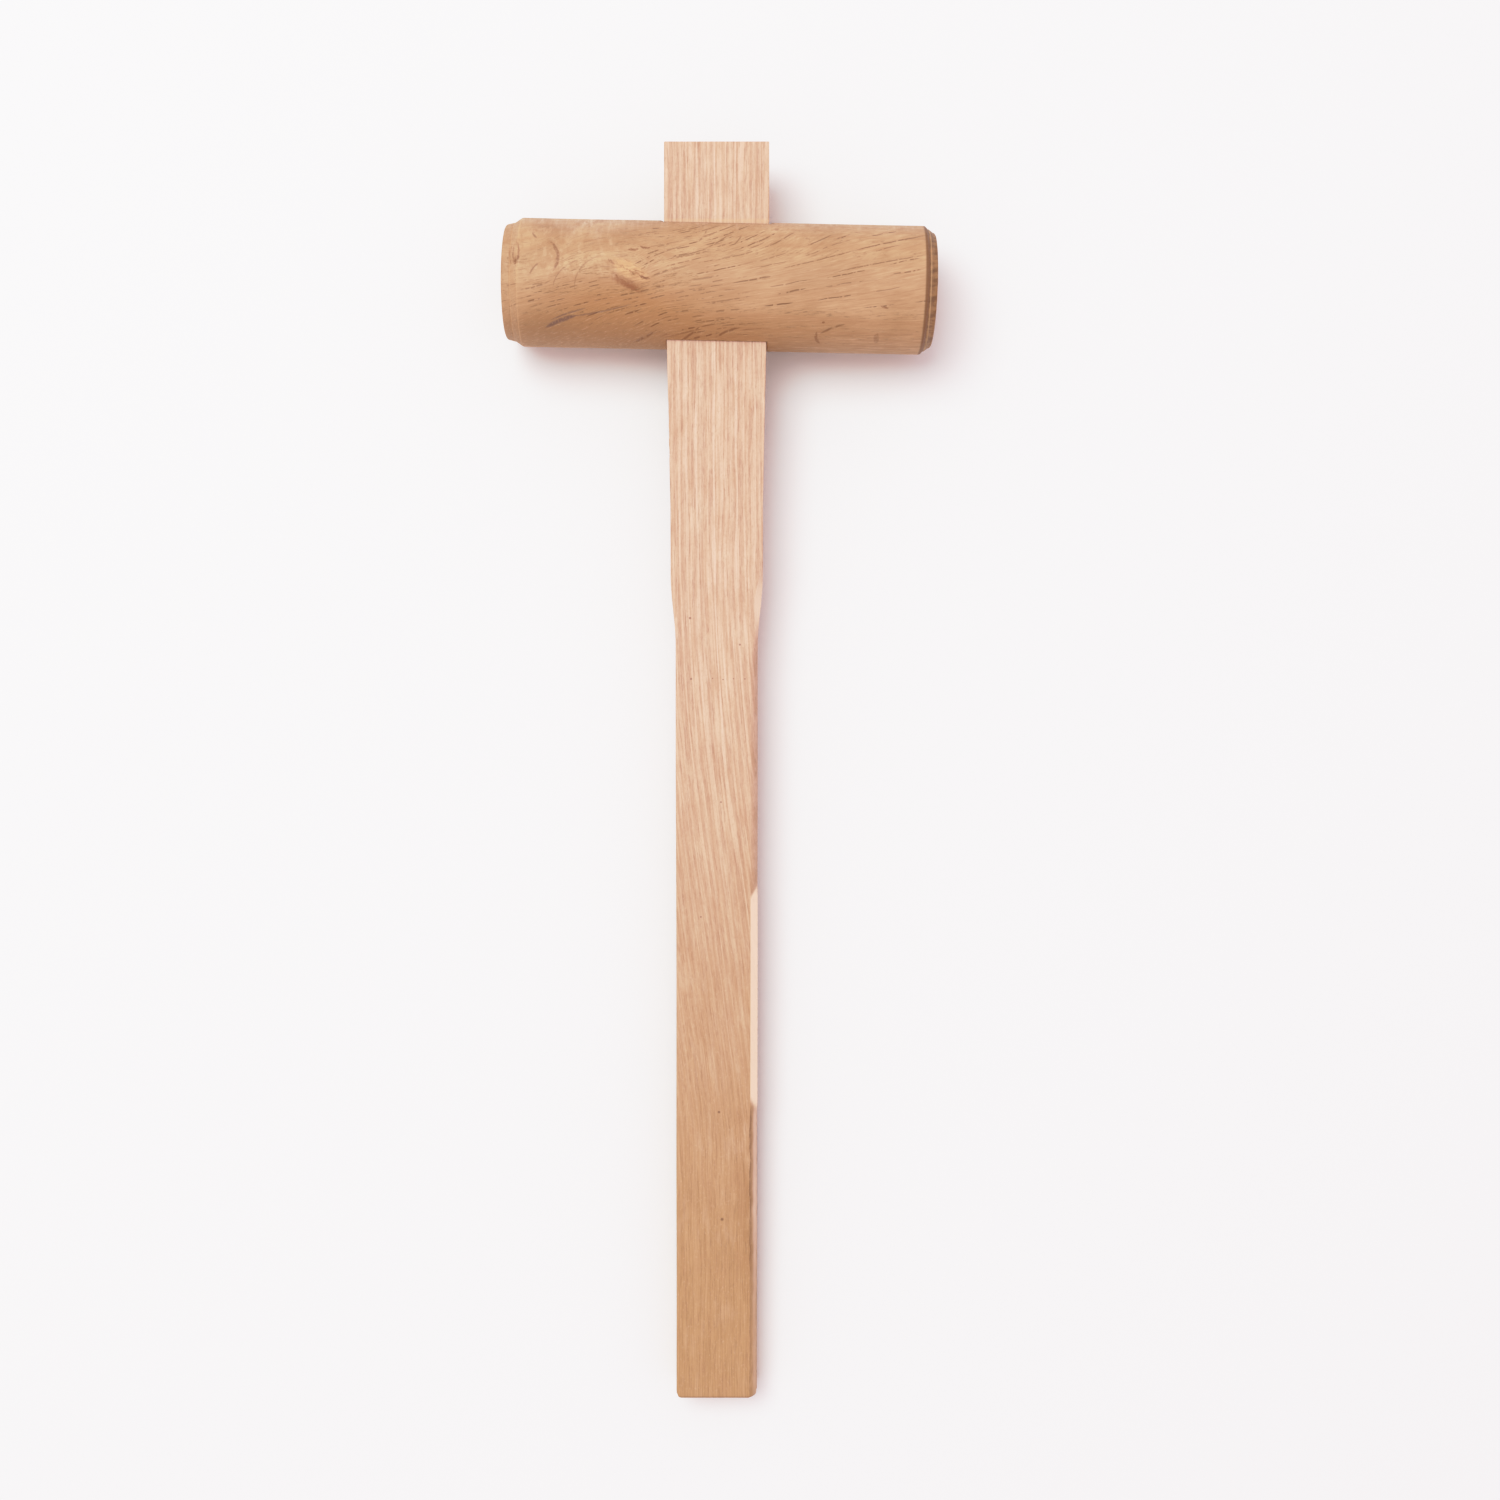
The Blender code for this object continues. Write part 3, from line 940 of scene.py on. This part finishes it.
def head_rays(n, w):
    """Where rays show: long broken lines on the right, shorter and closer dashes on the
    left, few on the worn patch and its painted light, on dark wood and on the lower right, and the marks placed
    one by one."""
    wave = n.times(n.add(n.noise((w.along, 0.09), (w.rows, 0.2), 8.0), -0.5), 1.3)
    waved = n.add(w.rows, wave)
    long_rays = ray_dashes(n, waved, w.density, w.along, w.up,
                           spacing=3.7, length=27.0, thick=0.22, amount=0.86, seed=11.0)
    long_rays = n.times(long_rays, n.step(w.along, -40.0, 10.0, 0.35, 1.0))
    short_rays = ray_dashes(n, n.add(waved, 2.1), w.density, w.along, w.up,
                            spacing=2.4, length=10.0, thick=0.20, amount=0.6, seed=29.0)
    left = n.without(n.step(w.along, -15.0, 25.0), 0.75)
    short_rays = n.times(short_rays, left, n.without(w.curls, 0.8))
    lively = n.without(n.step(n.most(w.worn, w.dark), 0.12, 0.45))
    rays = n.times(n.most(long_rays, short_rays), lively, n.step(w.density, 1.9, 1.4))
    side_on = n.step(n.off(w.up, 0.0), 5.0, 14.0)
    low_right = n.times(n.step(w.to_top, -13.0, -19.0), n.step(w.x, 0.0, 25.0), w.upper)
    rays = n.times(rays, n.step(side_on, 0.0, 1.0, 0.25, 1.0), n.without(low_right, 0.8))
    gaps = n.noise((w.x, 0.5), (w.to_top, 0.25), 3.0, detail=1.0)
    placed = n.times(strokes(n, w.flat, RAY_MARKS), w.upper, n.step(gaps, 0.36, 0.46, 0.3, 1.0))
    return n.times(n.most(rays, placed), n.without(w.end))


def turned_ends(n, w, colour):
    """The turned ends: the right one is dark, partly its end grain and partly painted shade, as it faces away from
    the light; light ridges edge the bevels.
    """
    streak = n.noise((w.x, 0.12), (w.rows, 0.9), (w.up, 0.25), detail=3.0)
    turned = n.tint(srgb(156, 112, 70), (110, 70, 38), n.step(streak, 0.35, 0.68))
    turned = n.tint(turned, (120, 76, 42), n.step(w.x, RIGHT_RIDGE - 0.2, RIGHT_RIDGE - 0.6))
    right_end = n.step(w.x, RIGHT_TURNED - 1.3, RIGHT_TURNED - 0.3)
    left_end = n.step(w.x, LEFT_TURNED + 0.5, LEFT_TURNED - 0.3)
    # Painted shade in part: the right end takes the dark turned colour almost wholly, the left end hardly at all.
    colour = n.mix(n.times(right_end, 0.90), colour, turned)
    colour = n.mix(n.times(left_end, 0.10), colour, turned)
    ridges = ((RIGHT_RIDGE + 0.3, 0.40), (LEFT_RIDGE, 0.30), (LEFT_TURNED, 0.25))
    for ridge_place, strength in ridges:
        ridge = n.step(n.off(w.x, ridge_place), 0.5, 0.15)
        colour = n.tint(colour, (214, 174, 130), ridge, strength)
    return colour


def head_end_grain(n, w):
    """The striking faces: rings as arcs with porous lines, and rays as fine upright lines."""
    ray = n.noise((w.to_top, 1.6), (w.up, 0.06), 1.0, detail=3.0)
    face = n.tint(srgb(186, 138, 98), (152, 106, 70), n.step(ray, 0.40, 0.68))
    dots = n.noise((w.to_top, 2.6), (w.up, 2.6), 4.0)
    early = n.times(n.step(w.ring, 0.45, 0.05), n.step(dots, 0.45, 0.62))
    face = n.tint(face, (118, 76, 46), early, 0.7)
    return n.tint(face, (144, 96, 60), w.late, 0.35)


def head_material():
    n = Nodes("head_oak_surface")
    w = head_wood(n)
    colour = knot_colour(n, w, head_ground(n, w))
    colour = head_grain(n, w, colour)
    rays = head_rays(n, w)
    colour = n.tint(colour, (114, 66, 30), rays, 0.76)

    ragged = n.noise((w.x, 0.9), (w.to_top, 0.9), 6.0, detail=3.0)
    knots = n.times(strokes(n, w.flat, KNOT_MARKS), w.upper, n.step(ragged, 0.30, 0.55, 0.35, 1.0))
    colour = n.tint(colour, (130, 78, 44), knots, 0.90)
    checks = n.times(strokes(n, w.flat, CHECK_MARKS), w.upper)
    checks = n.times(checks, n.step(ragged, 0.30, 0.50, 0.45, 1.0))
    colour = n.tint(colour, (108, 76, 66), checks, 0.80)

    colour = turned_ends(n, w, colour)
    # Painted shade: a dark line just outside the eye's upper mouth, in the gap where the handle enters the head.
    colour = n.tint(colour, (130, 84, 50), n.step(w.rim, 2.8, 1.6, 0.0, 0.75))
    colour = n.mix(w.end, colour, head_end_grain(n, w))

    n.put(n.shader.inputs["Base Color"], colour)
    n.put(n.shader.inputs["Roughness"], n.step(w.fibre, 0.3, 0.7, 0.50, 0.66))
    sunk = n.most(rays, checks, w.pore)
    n.bump(n.add(n.times(w.fibre, 0.5), n.times(sunk, -1.0)), 0.25 * MM, 0.6)
    return n.material


# Where the head's upper mouth meets the handle's front, along the handle: a band of painted bounce light from the
# head lies there.
HEAD_MOUTH = 28.0

# Specks on the handle's front, in millimetres across and along, with their radius.
SPECKS = (
    (-12.7, -158.4, 0.8), (11.0, -171.0, 0.7), (-12.2, -187.3, 0.7), (-2.0, -187.0, 0.4),
    (3.0, -187.6, 0.5), (8.0, -187.2, 0.4), (13.4, -187.3, 0.5), (2.0, -246.0, 0.6),
    (-7.6, -301.0, 0.6), (1.0, -395.0, 0.9), (2.5, -447.0, 1.1),
)


def spots(n, flat, specks):
    total = 0.0
    for across, along, radius in specks:
        away = n.distance(flat, (across, along))
        total = n.most(total, n.step(away, radius, radius * 0.3))
    return total


def handle_wood(n):
    """What the steps of the handle's material share: places in millimetres, and masks."""
    w = SimpleNamespace()
    w.ring_place, w.along, w.up = n.parts("timber")
    w.x, w.y, w.z = n.parts("place")
    wobble = n.noise((w.ring_place, 0.30), (w.along, 0.010), 2.0)
    phase = n.times(w.ring_place, 1 / HANDLE_RING_SPACING)
    phase = n.add(phase, n.times(n.add(wobble, -0.5), 2.6))
    w.ring = n.math("FRACT", phase)
    w.year = n.random(n.math("FLOOR", phase), 4.0, 0.0)
    pale = n.times(n.step(w.ring, 0.20, 0.55), n.step(w.ring, 1.0, 0.75))
    w.pale = n.times(pale, n.add(0.45, n.times(w.year[1], 0.55)))
    w.fibre = n.noise((w.ring_place, 1.9), (w.along, 0.040), (w.up, 0.5), detail=4.0, roughness=0.70)
    pores = n.noise((w.ring_place, 3.4), (w.along, 0.16), (w.up, 1.0))
    w.pore = n.times(n.step(pores, 0.57, 0.68), n.step(w.pale, 0.9, 0.2, 0.25, 1.0))
    w.grain = n.noise((w.x, 1.3), (w.y, 0.7), (w.z, 1.3), detail=3.0, roughness=0.7)
    w.mottle = n.noise((w.ring_place, 0.22), (w.along, 0.05), (w.up, 0.2), detail=3.0, roughness=0.6)
    cloud = n.noise((w.x, 0.05), (w.y, 0.02), (w.z, 0.05), detail=3.0)
    w.handled = n.step(n.add(w.y, n.times(cloud, -90.0)), -190.0, -540.0)
    return w


def handle_ground(n, w):
    """Annual rings on edge: pale late wood between darker porous lines, then the fibre."""
    colour = n.tint(srgb(202, 164, 139), (225, 191, 169), w.pale)
    colour = n.tint(colour, (212, 172, 144), w.year[0], 0.35)
    colour = n.tint(colour, (186, 145, 117), n.step(w.fibre, 0.50, 0.72, 0.0, 0.45))
    return n.tint(colour, (236, 205, 186), n.step(w.fibre, 0.48, 0.30, 0.0, 0.50))


def handle_use(n, w, colour):
    """The hand has darkened the grip towards the butt. Grime, pores and specks follow, then painted shade at the
    butt's edge and painted bounce light from the head.
    """
    soil = n.tint(srgb(187, 147, 98), (169, 129, 80), n.step(w.fibre, 0.35, 0.65))
    colour = n.mix(n.times(w.handled, 0.90), colour, soil)
    colour = n.tint(colour, (178, 134, 96), n.step(w.mottle, 0.50, 0.72, 0.0, 0.30))
    faint = n.step(w.mottle, 0.48, 0.30, 0.0, 0.30)
    colour = n.tint(colour, (234, 204, 180), faint, n.without(w.handled, 0.7))
    grimy = n.times(n.step(w.x, 4.0, 17.0), n.step(w.y, -388.0, -402.0))
    grimy = n.times(grimy, n.step(w.y, -520.0, -440.0), n.step(w.mottle, 0.35, 0.60))
    colour = n.tint(colour, (158, 112, 66), grimy, 0.5)
    colour = n.tint(colour, (150, 108, 80), w.pore, 0.34)
    colour = n.tint(colour, (176, 134, 102), n.step(w.grain, 0.50, 0.75, 0.0, 0.30))
    colour = n.tint(colour, (236, 206, 180), n.step(w.grain, 0.46, 0.25, 0.0, 0.20))
    # Painted shade: a dark line along the rounded edge of the butt.
    butt = n.step(w.y, HANDLE_BUTT / MM + 1.6, HANDLE_BUTT / MM + 0.2)
    colour = n.tint(colour, (140, 100, 66), butt, 0.55)
    specks = n.times(spots(n, n.vector(w.x, w.y), SPECKS), n.step(w.z, 0.0, 2.0))
    colour = n.tint(colour, (104, 62, 40), specks, 0.65)
    # Painted light: a warm band on the handle's front at the head's mouth, as if lit by light thrown back from the
    # head.
    head_bounce_light = n.times(n.step(n.off(w.y, HEAD_MOUTH), 2.2, 0.8), n.step(w.z, 8.0, 10.0))
    head_bounce_light = n.times(head_bounce_light, n.step(w.grain, 0.35, 0.55, 0.5, 1.0))
    return n.tint(colour, (232, 188, 146), head_bounce_light, 0.40)


def handle_edges(n, w, colour):
    """A pale shaved chamfer and a painted highlight on the shoulder facet, the dark hewn edge with faint painted
    shade on the grip's arris, and painted bounce light along the hewn arris's outer side.
    """
    # A pale cream strip on the shaved chamfer, and on the shoulder facet a painted highlight.
    colour = n.tint(colour, (248, 218, 194), n.number("pale_chamfer_and_highlight"), 0.90)
    ragged = n.noise((w.x, 0.6), (w.y, 0.35), 9.0, detail=3.0, roughness=0.6)
    ragged = n.step(ragged, 0.35, 0.55, 0.45, 0.85)
    # The dark hewn edge, and on the grip's arris the same dark as faint painted shade.
    colour = n.tint(colour, (128, 86, 54), n.number("hewn"), ragged)
    # Painted bounce light from the floor on the outer side of the hewn arris.
    return n.tint(colour, (236, 208, 190), n.number("floor_bounce_light"), 0.55)


def handle_end_grain(n, w):
    """The sawn ends: soft rays across, and porous lines along the rings."""
    rays = n.noise((w.x, 0.5), (w.z, 3.0), 1.0)
    face = n.tint(srgb(206, 164, 128), (178, 134, 98), n.step(rays, 0.4, 0.7))
    dots = n.noise((w.x, 2.8), (w.z, 2.8), 7.0)
    early = n.times(n.step(w.ring, 0.35, 0.05), n.step(dots, 0.45, 0.62))
    return n.tint(face, (140, 96, 64), early, 0.7)


def handle_material():
    n = Nodes("handle_oak_surface")
    w = handle_wood(n)
    colour = handle_use(n, w, handle_ground(n, w))
    colour = handle_edges(n, w, colour)
    colour = n.mix(n.number("end_grain"), colour, handle_end_grain(n, w))
    n.put(n.shader.inputs["Base Color"], colour)
    n.put(n.shader.inputs["Roughness"], n.step(w.handled, 0.0, 1.0, 0.66, 0.52))
    n.bump(n.add(n.times(w.fibre, -0.6), n.times(w.pore, -0.8)), 0.2 * MM, 0.5)
    return n.material


# ---- stage, light, camera

FLOOR_HALF = 4.0
CAMERA_HEIGHT = 884 * MM  # above the head's axis
CAMERA_PLACE = (4.9 * MM, 12.8 * MM)
CAMERA_SHIFT = 1 / 75  # of the picture's width
LENS = 44.4
SENSOR = 36.0
PAPER_COLOUR = (0.92, 0.93, 0.94)
FILL_COLOUR = (1.0, 0.82, 0.845)
FILL_STRENGTH = 0.82
WINDOW_PLACE = (-0.85, 0.85, 2.75)
WINDOW_SIZE = 2.0
WINDOW_POWER = 56.0
WINDOW_COLOUR = (0.84, 1.0, 0.985)
# The picture shows each light level of the shoulder as the second number.
SHOULDER_SCALE = 2.0
SHOULDER = ((0.35, 0.35), (0.72, 0.72), (1.15, 0.94))
SHOULDER_TOP = 0.99


def build_stage():
    corner = FLOOR_HALF
    mesh = bpy.data.meshes.new("studio_floor")
    mesh.from_pydata([(-corner, -corner, 0), (corner, -corner, 0), (corner, corner, 0),
                      (-corner, corner, 0)], [], [(0, 1, 2, 3)])
    floor = bpy.data.objects.new("studio_floor", mesh)
    bpy.context.scene.collection.objects.link(floor)
    paper = Nodes("studio_paper")
    paper.put(paper.shader.inputs["Base Color"], PAPER_COLOUR)
    paper.put(paper.shader.inputs["Roughness"], 0.9)
    paper.put(paper.shader.inputs["Specular IOR Level"], 0.1)
    mesh.materials.append(paper.material)


def build_air():
    """Soft, slightly pink light from all round. The camera sees the air as pale paper."""
    world = bpy.data.worlds.new("studio_air")
    bpy.context.scene.world = world
    world.use_nodes = True
    tree = world.node_tree
    fill = tree.nodes["Background"]
    fill.inputs["Color"].default_value = (*FILL_COLOUR, 1.0)
    fill.inputs["Strength"].default_value = FILL_STRENGTH
    backdrop = tree.nodes.new("ShaderNodeBackground")
    backdrop.inputs["Color"].default_value = (*PAPER_COLOUR, 1.0)
    rays = tree.nodes.new("ShaderNodeLightPath")
    mix = tree.nodes.new("ShaderNodeMixShader")
    tree.links.new(rays.outputs["Is Camera Ray"], mix.inputs[0])
    tree.links.new(fill.outputs[0], mix.inputs[1])
    tree.links.new(backdrop.outputs[0], mix.inputs[2])
    tree.links.new(mix.outputs[0], tree.nodes["World Output"].inputs["Surface"])


def build_window():
    """The one lamp: a soft window, high on the upper left, that faces the origin."""
    data = bpy.data.lights.new("window", "AREA")
    data.shape = "DISK"
    data.size = WINDOW_SIZE
    data.energy = WINDOW_POWER
    data.color = WINDOW_COLOUR
    lamp = bpy.data.objects.new("window", data)
    lamp.location = WINDOW_PLACE
    lamp.rotation_euler = (-Vector(WINDOW_PLACE)).to_track_quat("-Z", "Y").to_euler()
    bpy.context.scene.collection.objects.link(lamp)


def set_exposure():
    """Plain colours, with a soft shoulder so that the white paper doesn't burn out."""
    view = bpy.context.scene.view_settings
    view.view_transform = "Standard"
    view.use_curve_mapping = True
    curves = view.curve_mapping
    curves.white_level = (SHOULDER_SCALE,) * 3
    combined = curves.curves[3]
    combined.points[1].location = (1.0, SHOULDER_TOP)
    for light, shown in SHOULDER:
        combined.points.new(light / SHOULDER_SCALE, shown)
    curves.update()


def build_camera():
    """Straight above the bench, looking down, with +Y up in the picture."""
    data = bpy.data.cameras.new("camera")
    data.sensor_width = SENSOR
    data.lens = LENS
    data.shift_x = CAMERA_SHIFT
    camera = bpy.data.objects.new("camera", data)
    camera.location = (*CAMERA_PLACE, float(HEAD_CENTRE[2]) + CAMERA_HEIGHT)
    bpy.context.scene.collection.objects.link(camera)
    bpy.context.scene.camera = camera


# ---- the whole scene

def main():
    head = build_head()
    head.data.materials.append(head_material())
    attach(head, "head")
    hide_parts("head")

    handle = build_handle()
    handle.data.materials.append(handle_material())
    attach(handle, "handle")
    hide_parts("handle")

    build_stage()
    build_air()
    build_window()
    set_exposure()
    build_camera()


main()
